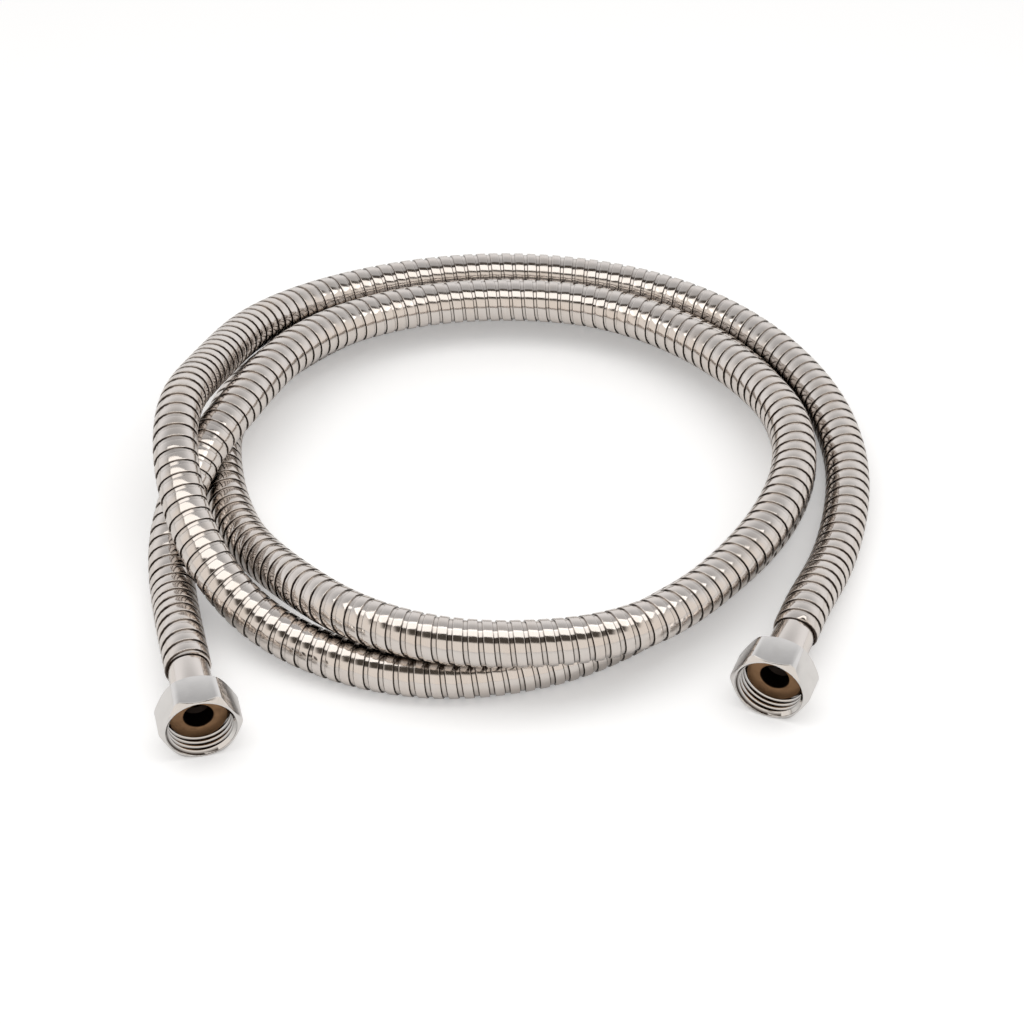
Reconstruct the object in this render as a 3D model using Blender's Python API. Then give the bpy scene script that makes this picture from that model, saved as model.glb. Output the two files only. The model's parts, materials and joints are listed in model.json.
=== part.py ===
"""Flexible metal shower hose with a hexagonal swivel nut on each end.

The hose lies on a table in a loose coil of two and three quarter turns. It is a
wound steel casing round a soft inner tube. Each end has a turned brass insert,
a steel ferrule and a chromed nut that turns freely on the insert.
Lengths are in metres and +Z is up. The table is at Z = 0.
"""
import math

import bmesh
import bpy
import numpy as np
from mathutils import Matrix, Vector

CLEARANCE = 0.0003

# Hose
CASING_RADIUS = 0.007
CASING_WALL = 0.0006
TUBE_WALL = 0.001
POINT_SPACING = 0.0215
SMOOTH_STEPS = 24
CASING_RESOLUTION = 4
TUBE_RESOLUTION = 3

# Nut. Its thread is left plain, at the smallest radius of a G 1/2 pipe thread.
THREAD_RADIUS = 0.009315
NUT_WALL = 0.001685
NUT_LENGTH = 0.0113
NUT_FACE_INSET = 0.00025
NUT_CHAMFER_ANGLE = 30.0
MOUTH_CHAMFER = 0.0011
SOCKET_DEPTH = 0.0057

# How far a cutting shape runs past the end that it cuts
CUT_OVERRUN = 0.002

# Insert
FLANGE_GAP = 0.0007
FLANGE_THICKNESS = 0.0028
FLANGE_CHAMFER = 0.0003
NECK_WALL = 0.0008
NECK_LENGTH = 0.0045
STEM_LENGTH = 0.0125
STEM_WALL = 0.0005
BARB_COUNT = 4
BARB_DEPTH = 0.0003

# Ferrule
FERRULE_WALL = 0.0005
FERRULE_STEP = 0.00034
FERRULE_SHOWING = 0.0142
FERRULE_TAIL = 0.0055
FERRULE_EDGE = 0.0002

ROUND_SEGMENTS = 48
NUT_SEGMENTS = 72

# The route is given in sevenths of the casing's radius, which is 1 mm here
ROUTE_UNIT = CASING_RADIUS / 7

# Place of the coil's centre, so that the origin is under the middle of the part
COIL_CENTRE = (-1.0, -7.48)

# The end of the casing at each fitting, from the coil's centre, and the way that
# the fitting points, in degrees from -Y towards +X
RIGHT_END = (83.95, -67.87)
RIGHT_HEADING = -21.5
LEFT_END = (-94.85, -83.0)
LEFT_HEADING = 13.5
STRAIGHT_RUN = 0.009

# Route of the hose from the right end to the left end, round the coil's centre:
# winding angle in degrees from +X, radius and height
ROUTE = [
    (-19, 103.4, 7.4), (-6, 104.9, 7.3), (7, 108.0, 7.3), (22, 111.8, 7.3), (36, 114.7, 7.3),
    (50, 117.1, 7.3), (64, 118.3, 7.3), (78, 118.3, 7.3), (92, 118.8, 7.3), (106, 119.8, 7.3),
    (119, 121.2, 7.8), (131, 119.3, 11.3), (142, 113.9, 17.2), (152, 108.5, 22.9), (162, 105.6, 28.6),
    (172, 104.8, 33.4), (182, 104.3, 33.4), (192, 103.6, 28.2), (202, 102.3, 21.3), (212, 99.8, 14.5),
    (222, 95.9, 9.7), (233, 91.4, 7.6), (245, 87.6, 7.3), (257, 83.8, 7.3), (269, 79.8, 7.3),
    (281, 76.4, 7.3), (294, 73.2, 7.3), (307, 71.6, 7.3), (320, 72.8, 7.3), (333, 75.8, 7.3),
    (346, 80.8, 7.3), (359, 87.0, 7.3), (373, 93.4, 7.3), (387, 97.8, 7.3), (401, 100.6, 7.3),
    (416, 102.6, 7.3), (432, 103.4, 7.3), (449, 103.8, 7.3), (465, 104.8, 7.3), (480, 105.6, 7.3),
    (494, 104.2, 7.3), (507, 103.2, 7.3), (519, 100.4, 7.3), (532, 94.2, 7.3), (545, 88.8, 7.6),
    (557, 85.4, 9.7), (569, 83.0, 13.3), (581, 82.8, 17.3), (593, 84.2, 20.4), (606, 84.9, 21.9),
    (619, 84.4, 22.1), (633, 83.6, 21.9), (647, 83.9, 21.5), (661, 83.1, 20.5), (675, 81.4, 19.7),
    (690, 82.0, 20.1), (704, 84.8, 21.5), (718, 88.0, 22.0), (732, 89.6, 21.7), (746, 89.2, 19.9),
    (760, 89.4, 18.0), (775, 90.3, 16.8), (791, 91.1, 16.4), (808, 91.0, 16.1), (824, 92.0, 16.3),
    (840, 92.9, 17.5), (852, 92.5, 19.5), (864, 91.3, 21.4), (875, 90.5, 22.2), (885, 91.7, 22.4),
    (895, 96.4, 21.2), (905, 102.9, 15.8), (915, 108.8, 9.8), (925, 113.2, 7.5),
]

STEEL = ("polished_steel", (0.56, 0.52, 0.48, 1.0), 0.22, 1.0)
CHROME = ("bright_chrome", (0.72, 0.72, 0.73, 1.0), 0.12, 1.0)
BRASS = ("dull_brass", (0.36, 0.23, 0.12, 1.0), 0.38, 1.0)
RUBBER = ("soft_white_tube", (0.75, 0.74, 0.70, 1.0), 0.55, 0.0)


def clear_objects():
    for item in list(bpy.data.objects):
        bpy.data.objects.remove(item, do_unlink=True)


def finish(name, colour, roughness, metallic):
    """Return the named material, made once."""
    material = bpy.data.materials.get(name) or bpy.data.materials.new(name)
    material.use_nodes = True
    shader = material.node_tree.nodes["Principled BSDF"]
    shader.inputs["Base Color"].default_value = colour
    shader.inputs["Roughness"].default_value = roughness
    shader.inputs["Metallic"].default_value = metallic
    return material


def link(name, data, look):
    item = bpy.data.objects.new(name, data)
    bpy.context.scene.collection.objects.link(item)
    if look:
        data.materials.append(finish(*look))
    return item


# Route

def heading_out(degrees):
    """Unit vector from the hose out through a fitting's mouth."""
    angle = math.radians(degrees)
    return Vector((math.sin(angle), -math.cos(angle), 0.0))


def casing_end(place):
    """End of the casing, at the height of a nut that rests on one flat."""
    x, y = [(centre + offset) * ROUTE_UNIT for centre, offset in zip(COIL_CENTRE, place)]
    return Vector((x, y, nut_across_flats() / 2))


def coil_point(degrees, radius, height):
    angle = math.radians(degrees)
    x = COIL_CENTRE[0] + radius * math.cos(angle)
    y = COIL_CENTRE[1] + radius * math.sin(angle)
    return Vector((x, y, height)) * ROUTE_UNIT


def chosen_points():
    """The straight run beside each fitting, and the route between them."""
    right_run = casing_end(RIGHT_END) - heading_out(RIGHT_HEADING) * STRAIGHT_RUN
    left_run = casing_end(LEFT_END) - heading_out(LEFT_HEADING) * STRAIGHT_RUN
    return [right_run] + [coil_point(*row) for row in ROUTE] + [left_run]


def smooth_curve(points, start_way, end_way):
    """Cubic spline through the points, with a given direction at each end."""
    places = np.array([tuple(point) for point in points])
    steps = np.linalg.norm(np.diff(places, axis=0), axis=1)
    slopes = np.diff(places, axis=0) / steps[:, None]
    count = len(places)
    system = np.zeros((count, count))
    known = np.zeros((count, 3))
    system[0, :2] = 2 * steps[0], steps[0]
    known[0] = 6 * (slopes[0] - np.array(start_way))
    system[-1, -2:] = steps[-1], 2 * steps[-1]
    known[-1] = 6 * (np.array(end_way) - slopes[-1])
    for row in range(1, count - 1):
        before, after = steps[row - 1], steps[row]
        system[row, row - 1:row + 2] = before, 2 * (before + after), after
        known[row] = 6 * (slopes[row] - slopes[row - 1])
    bends = np.linalg.solve(system, known)
    curve = []
    for row in range(count - 1):
        step = steps[row]
        for share in np.linspace(0, 1, SMOOTH_STEPS, endpoint=False):
            near, far = (1 - share) * step, share * step
            cubic = (bends[row] * near ** 3 + bends[row + 1] * far ** 3) / (6 * step)
            start = (places[row] / step - bends[row] * step / 6) * near
            end = (places[row + 1] / step - bends[row + 1] * step / 6) * far
            curve.append(cubic + start + end)
    curve.append(places[-1])
    return np.array(curve)


def evenly_spaced(curve, spacing):
    lengths = np.linalg.norm(np.diff(curve, axis=0), axis=1)
    travelled = np.concatenate([[0.0], np.cumsum(lengths)])
    count = round(travelled[-1] / spacing) + 1
    stations = np.linspace(0.0, travelled[-1], count)
    columns = [np.interp(stations, travelled, curve[:, axis]) for axis in range(3)]
    return [Vector(row) for row in np.stack(columns, axis=1)]


def hose_centreline():
    """Points along the casing's centreline, from the right end to the left end."""
    start_way = -heading_out(RIGHT_HEADING)
    end_way = heading_out(LEFT_HEADING)
    curve = smooth_curve(chosen_points(), start_way, end_way)
    between = evenly_spaced(curve, POINT_SPACING)
    return [casing_end(RIGHT_END)] + between + [casing_end(LEFT_END)]


# Shapes

def pipe(name, points, radius, wall, resolution, look):
    """Open-ended pipe along the points."""
    data = bpy.data.curves.new(name, "CURVE")
    data.dimensions = "3D"
    data.bevel_depth = radius
    data.bevel_resolution = resolution
    data.use_fill_caps = False
    spline = data.splines.new("POLY")
    spline.points.add(len(points) - 1)
    for place, point in zip(spline.points, points):
        place.co = (point.x, point.y, point.z, 1.0)
    item = link(name, data, look)
    thickness = item.modifiers.new("wall", "SOLIDIFY")
    thickness.thickness = wall
    thickness.offset = -1.0
    thickness.use_even_offset = True
    return item


def turned_mesh(name, outline, segments):
    """Solid of revolution about local Z, from a closed outline of (radius, depth)."""
    shape = bmesh.new()
    rings = []
    for step in range(segments):
        angle = 2 * math.pi * step / segments
        way = Vector((math.cos(angle), math.sin(angle), 0.0))
        rings.append([shape.verts.new(way * radius + Vector((0, 0, depth))) for radius, depth in outline])
    for step in range(segments):
        here, there = rings[step], rings[(step + 1) % segments]
        for corner in range(len(outline)):
            following = (corner + 1) % len(outline)
            shape.faces.new((here[corner], there[corner], there[following], here[following]))
    bmesh.ops.recalc_face_normals(shape, faces=shape.faces)
    data = bpy.data.meshes.new(name)
    shape.to_mesh(data)
    shape.free()
    data.shade_smooth()
    data.set_sharp_from_angle(angle=math.radians(30))
    return data


def turned_plug_mesh(name, outline, segments):
    """Closed solid of revolution about local Z whose outline starts and ends on the axis."""
    shape = bmesh.new()
    low = shape.verts.new((0, 0, outline[0][1]))
    high = shape.verts.new((0, 0, outline[-1][1]))
    rings = []
    for step in range(segments):
        angle = 2 * math.pi * step / segments
        way = Vector((math.cos(angle), math.sin(angle), 0.0))
        rings.append([shape.verts.new(way * radius + Vector((0, 0, depth))) for radius, depth in outline])
    for step in range(segments):
        here, there = rings[step], rings[(step + 1) % segments]
        shape.faces.new((low, there[0], here[0]))
        shape.faces.new((high, here[-1], there[-1]))
        for corner in range(len(outline) - 1):
            shape.faces.new((here[corner], there[corner], there[corner + 1], here[corner + 1]))
    bmesh.ops.recalc_face_normals(shape, faces=shape.faces)
    data = bpy.data.meshes.new(name)
    shape.to_mesh(data)
    shape.free()
    return data


def hexagon_mesh(name, across_flats, start, end):
    """Hexagonal bar between two depths along local Z, with two flats facing along local Y."""
    shape = bmesh.new()
    corner = across_flats / math.sqrt(3)
    ends = []
    for depth in (start, end):
        ring = []
        for step in range(6):
            angle = math.radians(60 * step)
            ring.append(shape.verts.new((corner * math.cos(angle), corner * math.sin(angle), depth)))
        ends.append(ring)
    near, far = ends
    shape.faces.new(reversed(near))
    shape.faces.new(far)
    for step in range(6):
        following = (step + 1) % 6
        shape.faces.new((near[step], near[following], far[following], far[step]))
    bmesh.ops.recalc_face_normals(shape, faces=shape.faces)
    data = bpy.data.meshes.new(name)
    shape.to_mesh(data)
    shape.free()
    return data


def helper(name, data, parent):
    """Cutting shape, left out of the model."""
    item = link(name, data, None)
    item.parent = parent
    item.hide_render = True
    item.display_type = "WIRE"
    return item


def cut(item, tool, operation):
    step = item.modifiers.new(operation.lower(), "BOOLEAN")
    step.operation = operation
    step.solver = "EXACT"
    step.object = tool


# Sizes that follow from others

def flat_share(resolution):
    """Radius at the middle of a curve tube's facets, as a share of its full radius."""
    return math.cos(math.pi / (2 * resolution + 4))


def tail_radius():
    """Outside of the ferrule's tail, which fits inside the casing."""
    return CASING_RADIUS * flat_share(CASING_RESOLUTION) - CASING_WALL - CLEARANCE


def ferrule_radius():
    return tail_radius() + FERRULE_STEP


def ferrule_bore_radius():
    return tail_radius() - FERRULE_WALL


def tube_radius():
    """Outside of the inner tube, and of the insert's neck before it."""
    return ferrule_bore_radius() - CLEARANCE


def barb_radius():
    return tube_radius() * flat_share(TUBE_RESOLUTION) - TUBE_WALL - CLEARANCE


def stem_bore_radius():
    return barb_radius() - BARB_DEPTH - STEM_WALL


def insert_bore_radius():
    return tube_radius() - NECK_WALL


def nut_across_flats():
    return 2 * (THREAD_RADIUS + NUT_WALL)


def flange_back():
    return SOCKET_DEPTH + FLANGE_THICKNESS


def neck_end():
    return flange_back() + NECK_LENGTH


def mouth_to_casing():
    return NUT_LENGTH + FERRULE_SHOWING


# Fittings. Depths run along local Z, from the nut's mouth towards the hose.

def nut_envelope():
    """Turned outline that cuts the hexagonal bar to length and rounds off its corners."""
    corner = nut_across_flats() / math.sqrt(3) + CLEARANCE
    face = nut_across_flats() / 2 - NUT_FACE_INSET
    chamfer = (corner - face) * math.tan(math.radians(NUT_CHAMFER_ANGLE))
    return [(face, 0.0), (corner, chamfer), (corner, NUT_LENGTH - chamfer), (face, NUT_LENGTH)]


def nut_hollow():
    """Mouth, thread bore and the smaller hole in the lip, past both ends of the nut."""
    lip_radius = ferrule_radius() + CLEARANCE
    lip_depth = flange_back() + CLEARANCE
    mouth_radius = THREAD_RADIUS + MOUTH_CHAMFER
    return [
        (mouth_radius, -CUT_OVERRUN),
        (mouth_radius, 0.0),
        (THREAD_RADIUS, MOUTH_CHAMFER),
        (THREAD_RADIUS, lip_depth),
        (lip_radius, lip_depth),
        (lip_radius, NUT_LENGTH + CUT_OVERRUN),
    ]


def insert_outline():
    """Flange, neck and barbed stem outside, and the stepped bore inside."""
    flange_radius = THREAD_RADIUS - FLANGE_GAP
    bore, stem_bore = insert_bore_radius(), stem_bore_radius()
    outline = [
        (bore + FLANGE_CHAMFER, SOCKET_DEPTH),
        (flange_radius - FLANGE_CHAMFER, SOCKET_DEPTH),
        (flange_radius, SOCKET_DEPTH + FLANGE_CHAMFER),
        (flange_radius, flange_back()),
        (tube_radius(), flange_back()),
        (tube_radius(), neck_end()),
    ]
    barb_length = STEM_LENGTH / BARB_COUNT
    for barb in range(BARB_COUNT):
        start = neck_end() + barb * barb_length
        outline.append((barb_radius(), start))
        outline.append((barb_radius() - BARB_DEPTH, start + barb_length))
    step_end = neck_end() - NECK_WALL
    outline += [
        (stem_bore, neck_end() + STEM_LENGTH),
        (stem_bore, step_end),
        (bore, step_end - (bore - stem_bore) / 2),
        (bore, SOCKET_DEPTH + FLANGE_CHAMFER),
    ]
    return outline


def ferrule_outline():
    """Sleeve over the insert's neck, with a thinner tail inside the casing."""
    front = flange_back() + CLEARANCE
    shoulder = mouth_to_casing() - CLEARANCE
    tail_end = mouth_to_casing() + FERRULE_TAIL
    outer = ferrule_radius()
    return [
        (ferrule_bore_radius(), front),
        (outer - FERRULE_EDGE, front),
        (outer, front + FERRULE_EDGE),
        (outer, shoulder - FERRULE_EDGE),
        (outer - FERRULE_EDGE, shoulder),
        (tail_radius(), shoulder),
        (tail_radius(), tail_end),
        (ferrule_bore_radius(), tail_end),
    ]


def fitting(side, place, heading):
    """Nut, insert and ferrule at one end of the hose."""
    out = heading_out(heading)
    mouth = casing_end(place) + out * mouth_to_casing()
    sideways = Vector((0.0, 0.0, 1.0)).cross(-out)
    turn = Matrix((sideways, Vector((0.0, 0.0, 1.0)), -out)).transposed()
    end = bpy.data.objects.new(side + "_end", None)
    bpy.context.scene.collection.objects.link(end)
    end.matrix_world = Matrix.Translation(mouth) @ turn.to_4x4()

    bar_start, bar_end = -CUT_OVERRUN, NUT_LENGTH + CUT_OVERRUN
    bar = hexagon_mesh(side + "_nut", nut_across_flats(), bar_start, bar_end)
    nut = link(side + "_swivel_nut", bar, CHROME)
    nut.parent = end
    envelope = turned_plug_mesh(side + "_nut_envelope", nut_envelope(), NUT_SEGMENTS)
    hollow = turned_plug_mesh(side + "_nut_hollow", nut_hollow(), NUT_SEGMENTS)
    cut(nut, helper(side + "_nut_envelope", envelope, end), "INTERSECT")
    cut(nut, helper(side + "_nut_hollow", hollow, end), "DIFFERENCE")

    insert = link(side + "_insert", turned_mesh(side + "_insert", insert_outline(), ROUND_SEGMENTS), BRASS)
    insert.parent = end
    ferrule = link(side + "_ferrule", turned_mesh(side + "_ferrule", ferrule_outline(), ROUND_SEGMENTS), STEEL)
    ferrule.parent = end


def inner_tube_points(casing_points):
    """The casing's centreline, carried on to the inserts' necks."""
    reach = mouth_to_casing() - neck_end() - CLEARANCE
    start = casing_points[0] + heading_out(RIGHT_HEADING) * reach
    end = casing_points[-1] + heading_out(LEFT_HEADING) * reach
    return [start] + casing_points[1:-1] + [end]


def main():
    clear_objects()
    casing_points = hose_centreline()
    pipe("hose_casing", casing_points, CASING_RADIUS, CASING_WALL, CASING_RESOLUTION, STEEL)
    tube_points = inner_tube_points(casing_points)
    pipe("inner_tube", tube_points, tube_radius(), TUBE_WALL, TUBE_RESOLUTION, RUBBER)
    fitting("right", RIGHT_END, RIGHT_HEADING)
    fitting("left", LEFT_END, LEFT_HEADING)


main()
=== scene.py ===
"""Looks of a flexible metal shower hose with a hexagonal swivel nut on each end.

The hose lies in a loose coil on a white table. Its casing is a steel strip wound
into a pipe, with a narrow groove between the turns. The sizes are in metres.
"""

import json
import math

import bpy
import numpy as np
from bpy.props import FloatProperty, FloatVectorProperty, PointerProperty
from mathutils import Matrix, Vector

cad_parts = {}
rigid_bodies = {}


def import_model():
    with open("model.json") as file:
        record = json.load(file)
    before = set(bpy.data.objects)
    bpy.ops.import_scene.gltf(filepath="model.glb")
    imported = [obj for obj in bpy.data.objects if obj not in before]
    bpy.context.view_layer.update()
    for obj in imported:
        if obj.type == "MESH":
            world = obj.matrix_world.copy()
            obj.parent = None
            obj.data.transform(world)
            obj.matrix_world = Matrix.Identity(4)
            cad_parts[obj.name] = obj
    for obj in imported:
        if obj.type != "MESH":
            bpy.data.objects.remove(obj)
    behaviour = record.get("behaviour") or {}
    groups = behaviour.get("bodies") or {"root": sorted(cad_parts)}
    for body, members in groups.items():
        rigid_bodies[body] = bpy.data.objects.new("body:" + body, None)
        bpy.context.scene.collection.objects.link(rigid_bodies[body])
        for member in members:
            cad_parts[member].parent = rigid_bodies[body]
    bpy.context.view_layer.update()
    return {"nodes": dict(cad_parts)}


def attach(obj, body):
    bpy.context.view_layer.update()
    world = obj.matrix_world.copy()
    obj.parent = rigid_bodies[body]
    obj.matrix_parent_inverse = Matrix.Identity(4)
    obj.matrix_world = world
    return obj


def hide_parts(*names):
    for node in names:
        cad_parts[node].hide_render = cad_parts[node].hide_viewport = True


bl_info = {
    "name": "Coiled Shower Hose",
    "version": (1, 0, 0),
    "blender": (4, 5, 0),
    "location": "View3D > Sidebar > Shower Hose",
    "description": "Builds the looks of a coiled metal shower hose with a swivel nut on each end",
    "category": "Add Mesh",
}

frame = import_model()

COIL_CENTRE = (-0.001, -0.00748)

# Height of the fittings' axis, and length of straight hose at each end
AXIS_HEIGHT = 0.011
STRAIGHT_RUN = 0.009

# Each end of the casing: its place from the coil's centre, and which way it points,
# in degrees from -Y towards +X
ENDS = {
    "right": ((0.08395, -0.06787), -21.5),
    "left": ((-0.09485, -0.083), 13.5),
}

# Route of the hose from the right end to the left end, round the coil's centre:
# winding angle in degrees from +X, radius and height
ROUTE = [
    (-19, 0.1034, 0.0074), (-6, 0.1049, 0.0073), (7, 0.108, 0.0073), (22, 0.1118, 0.0073),
    (36, 0.1147, 0.0073), (50, 0.1171, 0.0073), (64, 0.1183, 0.0073), (78, 0.1183, 0.0073),
    (92, 0.1188, 0.0073), (106, 0.1198, 0.0073), (119, 0.1212, 0.0078), (131, 0.1193, 0.0113),
    (142, 0.1139, 0.0172), (152, 0.1085, 0.0229), (162, 0.1056, 0.0286), (172, 0.1048, 0.0334),
    (182, 0.1043, 0.0334), (192, 0.1036, 0.0282), (202, 0.1023, 0.0213), (212, 0.0998, 0.0145),
    (222, 0.0959, 0.0097), (233, 0.0914, 0.0076), (245, 0.0876, 0.0073), (257, 0.0838, 0.0073),
    (269, 0.0798, 0.0073), (281, 0.0764, 0.0073), (294, 0.0732, 0.0073), (307, 0.0716, 0.0073),
    (320, 0.0728, 0.0073), (333, 0.0758, 0.0073), (346, 0.0808, 0.0073), (359, 0.087, 0.0073),
    (373, 0.0934, 0.0073), (387, 0.0978, 0.0073), (401, 0.1006, 0.0073), (416, 0.1026, 0.0073),
    (432, 0.1034, 0.0073), (449, 0.1038, 0.0073), (465, 0.1048, 0.0073), (480, 0.1056, 0.0073),
    (494, 0.1042, 0.0073), (507, 0.1032, 0.0073), (519, 0.1004, 0.0073), (532, 0.0942, 0.0073),
    (545, 0.0888, 0.0076), (557, 0.0854, 0.0097), (569, 0.083, 0.0133), (581, 0.0828, 0.0173),
    (593, 0.0842, 0.0204), (606, 0.0849, 0.0219), (619, 0.0844, 0.0221), (633, 0.0836, 0.0219),
    (647, 0.0839, 0.0215), (661, 0.0831, 0.0205), (675, 0.0814, 0.0197), (690, 0.082, 0.0201),
    (704, 0.0848, 0.0215), (718, 0.088, 0.022), (732, 0.0896, 0.0217), (746, 0.0892, 0.0199),
    (760, 0.0894, 0.018), (775, 0.0903, 0.0168), (791, 0.0911, 0.0164), (808, 0.091, 0.0161),
    (824, 0.092, 0.0163), (840, 0.0929, 0.0175), (852, 0.0925, 0.0195), (864, 0.0913, 0.0214),
    (875, 0.0905, 0.0222), (885, 0.0917, 0.0224), (895, 0.0964, 0.0212), (905, 0.1029, 0.0158),
    (915, 0.1088, 0.0098), (925, 0.1132, 0.0075),
]


# Settings

COLOUR = {"subtype": "COLOR", "min": 0, "max": 1}


class HoseSettings(bpy.types.PropertyGroup):
    """Sizes and colours of the wound casing"""

    radius: FloatProperty(
        name="Radius", description="Outside radius of the casing", default=0.007, unit="LENGTH"
    )
    inner_radius: FloatProperty(
        name="Inner radius", description="Radius of the casing's smooth inside", default=0.006,
        unit="LENGTH",
    )
    pitch: FloatProperty(
        name="Strip pitch", description="Distance from one turn of the strip to the next",
        default=0.0043, unit="LENGTH",
    )
    band: FloatProperty(
        name="Band width", description="Width of the raised band of each turn", default=0.00285,
        unit="LENGTH",
    )
    groove: FloatProperty(
        name="Groove depth", description="Depth of the flat groove between bands", default=0.0005,
        unit="LENGTH",
    )
    crown: FloatProperty(
        name="Crown", description="How far each band bulges in its middle", default=0.00004,
        unit="LENGTH",
    )
    colour: FloatVectorProperty(
        name="Steel", description="Colour of the polished strip", default=(0.74, 0.685, 0.64), **COLOUR
    )
    shade_reach: FloatProperty(
        name="Shade reach", description="Gap between two strands at which their shade ends",
        default=0.0028, unit="LENGTH",
    )
    # Painted shade: the near-black colour blended into the grooves' corners and where strands lie close
    painted_shade_colour: FloatVectorProperty(
        name="Groove corner", description="Colour of the steel in the grooves' corners",
        default=(0.035, 0.024, 0.017), **COLOUR,
    )
    tube_colour: FloatVectorProperty(
        name="Inner tube", description="Colour of the soft inner tube", default=(0.72, 0.71, 0.67),
        **COLOUR,
    )


class FittingSettings(bpy.types.PropertyGroup):
    """Sizes and colours of the nuts, inserts and ferrules"""

    across_flats: FloatProperty(
        name="Across flats", description="Width of the hexagon", default=0.022, unit="LENGTH"
    )
    corner_rounding: FloatProperty(
        name="Corner rounding", description="Radius of the hexagon's rounded corners", default=0.0026,
        unit="LENGTH",
    )
    nut_length: FloatProperty(
        name="Nut length", description="Length of the nut along its axis", default=0.0113, unit="LENGTH"
    )
    thread_radius: FloatProperty(
        name="Thread crest radius", description="Smallest radius of the nut's thread", default=0.009315,
        unit="LENGTH",
    )
    thread_root: FloatProperty(
        name="Thread root radius", description="Largest radius of the nut's thread", default=0.0103,
        unit="LENGTH",
    )
    thread_pitch: FloatProperty(
        name="Thread pitch", description="Advance of the thread in one turn", default=0.001814,
        unit="LENGTH",
    )
    socket_depth: FloatProperty(
        name="Socket depth", description="From the nut's mouth to the insert's face", default=0.0057,
        unit="LENGTH",
    )
    flange_radius: FloatProperty(
        name="Flange radius", description="Outside radius of the insert's flange", default=0.008615,
        unit="LENGTH",
    )
    flange_thickness: FloatProperty(
        name="Flange thickness", description="Thickness of the insert's flange", default=0.0028,
        unit="LENGTH",
    )
    bore_radius: FloatProperty(
        name="Bore radius", description="Radius of the hole in the insert's face", default=0.00426,
        unit="LENGTH",
    )
    stem_radius: FloatProperty(
        name="Stem radius", description="Outside radius of the barbs on the insert's stem",
        default=0.0035, unit="LENGTH",
    )
    ferrule_radius: FloatProperty(
        name="Ferrule radius", description="Outside radius of the ferrule", default=0.0062,
        unit="LENGTH",
    )
    ferrule_showing: FloatProperty(
        name="Ferrule showing", description="Length of ferrule between nut and casing", default=0.0142,
        unit="LENGTH",
    )
    chrome_colour: FloatVectorProperty(
        name="Chrome", description="Colour of the plated nuts", default=(0.745, 0.72, 0.695), **COLOUR
    )
    # Painted shade: the near-black colour blended in deep in the nut's thread
    thread_shade_colour: FloatVectorProperty(
        name="Thread root", description="Colour of the metal deep in the nut's thread",
        default=(0.045, 0.033, 0.025), **COLOUR,
    )
    brass_colour: FloatVectorProperty(
        name="Brass", description="Colour of the insert's turned face", default=(0.30, 0.17, 0.085),
        **COLOUR,
    )
    # Painted shade: the near-black colour that fills the insert's hole
    bore_shade_colour: FloatVectorProperty(
        name="Bore", description="Colour of the dark hole through the insert",
        default=(0.012, 0.006, 0.003), **COLOUR,
    )


class StageSettings(bpy.types.PropertyGroup):
    """Table, light and camera"""

    table_colour: FloatVectorProperty(
        name="Table", description="Colour of the table", default=(0.86, 0.86, 0.86), **COLOUR
    )
    table_lift: FloatProperty(
        name="Table lift", description="Glow that the camera sees on the table", default=0.28, min=0
    )
    table_shine: FloatProperty(
        name="Table shine", description="Glow that the polished metal sees on the table", default=0.05,
        min=0,
    )
    surround: FloatProperty(
        name="Surround", description="Strength of the even light from all round", default=0.70, min=0
    )
    front_wall: FloatVectorProperty(
        name="Front wall", description="What the metal mirrors in front", default=(0.95, 0.90, 0.85),
        **COLOUR,
    )
    back_wall: FloatVectorProperty(
        name="Back wall", description="What the metal mirrors behind", default=(0.75, 0.755, 0.77),
        **COLOUR,
    )
    hood_colour: FloatVectorProperty(
        name="Hood", description="What the metal mirrors round the soft box", default=(0.07, 0.06, 0.05),
        **COLOUR,
    )
    hood_height: FloatProperty(
        name="Hood height", description="Middle of the hood above the front horizon",
        default=math.radians(75), subtype="ANGLE",
    )
    hood_width: FloatProperty(
        name="Hood width", description="Angle that the hood takes up", default=math.radians(60),
        subtype="ANGLE",
    )
    box_height: FloatProperty(
        name="Soft box height", description="Height of the lamp above the table", default=0.463,
        unit="LENGTH",
    )
    box_forward: FloatProperty(
        name="Soft box place", description="Place of the lamp's middle along Y", default=-0.0605,
        unit="LENGTH",
    )
    box_length: FloatProperty(
        name="Soft box length", description="Size of the lamp along X", default=0.8, unit="LENGTH"
    )
    box_depth: FloatProperty(
        name="Soft box depth", description="Size of the lamp along Y", default=0.28, unit="LENGTH"
    )
    box_glow: FloatProperty(
        name="Soft box glow", description="Brightness of the lamp's face, 1 being white", default=1.4,
        min=0,
    )
    camera_distance: FloatProperty(
        name="Camera distance", description="From the camera to the coil's centre", default=0.876,
        unit="LENGTH",
    )
    camera_pitch: FloatProperty(
        name="Camera pitch", description="Angle at which the camera looks down",
        default=math.radians(41), subtype="ANGLE",
    )
    lens: FloatProperty(
        name="Lens", description="Focal length on a 36 mm sensor, in millimetres", default=96.7, min=1
    )


# Objects

# Points closer than this are one point
MERGE_DISTANCE = 0.000002
STRIP_MERGE_DISTANCE = 0.000001


def deselect_all():
    for item in bpy.context.view_layer.objects:
        item.select_set(False)


def activate(item):
    deselect_all()
    item.select_set(True)
    bpy.context.view_layer.objects.active = item


def new_object(name, data):
    item = bpy.data.objects.new(name, data)
    bpy.context.scene.collection.objects.link(item)
    activate(item)
    return item


def named(name):
    item = bpy.context.view_layer.objects.active
    item.name = name
    item.data.name = name
    return item


def apply_modifiers(item):
    activate(item)
    for modifier in list(item.modifiers):
        bpy.ops.object.modifier_apply(modifier=modifier.name)


def cut(item, tool, operation):
    modifier = item.modifiers.new(operation.lower(), "BOOLEAN")
    modifier.operation = operation
    modifier.solver = "EXACT"
    modifier.object = tool
    apply_modifiers(item)
    bpy.data.objects.remove(tool, do_unlink=True)


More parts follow.
